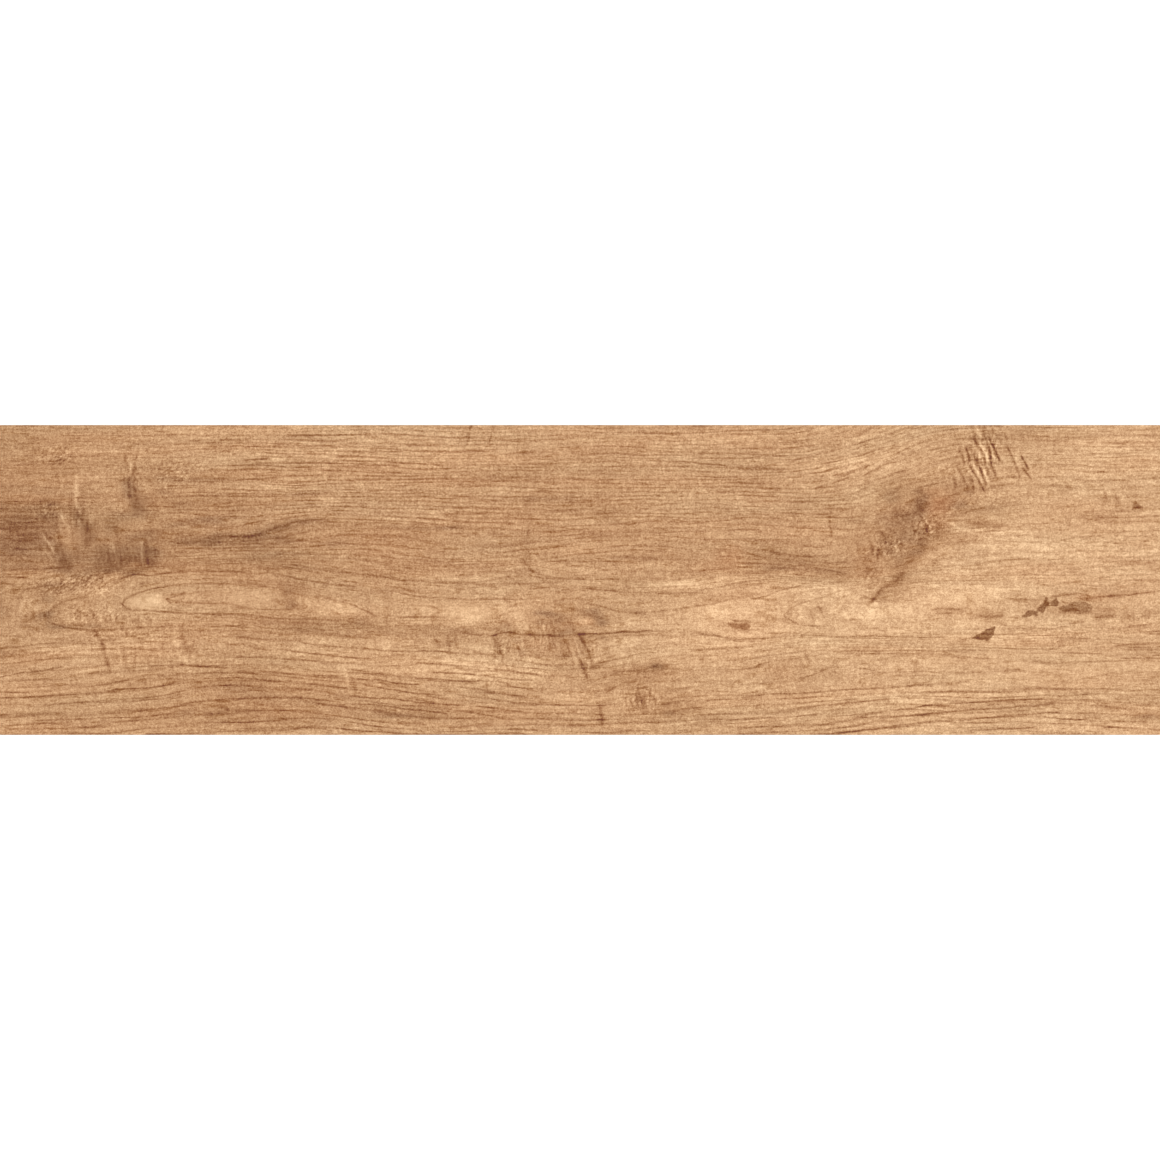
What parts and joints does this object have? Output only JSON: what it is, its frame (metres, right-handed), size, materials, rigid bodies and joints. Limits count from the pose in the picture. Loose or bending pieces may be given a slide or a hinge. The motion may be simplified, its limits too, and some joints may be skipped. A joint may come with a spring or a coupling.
{
  "type": "porcelain plank tile",
  "caption": "Flat rectangular porcelain plank tile with a wood look face, square ground edges and a back of shallow pressed cells.",
  "frame": {"origin": "middle of the plane that the ribs of the back rest on", "axes": "+X along the plank, +Y across it, +Z out of the wood look face"},
  "size_m": [0.6, 0.16, 0.009],
  "materials": {
    "porcelain": "matt"
  },
  "bodies": {
    "root": {"plank_tile": "porcelain"}
  },
  "joints": []
}
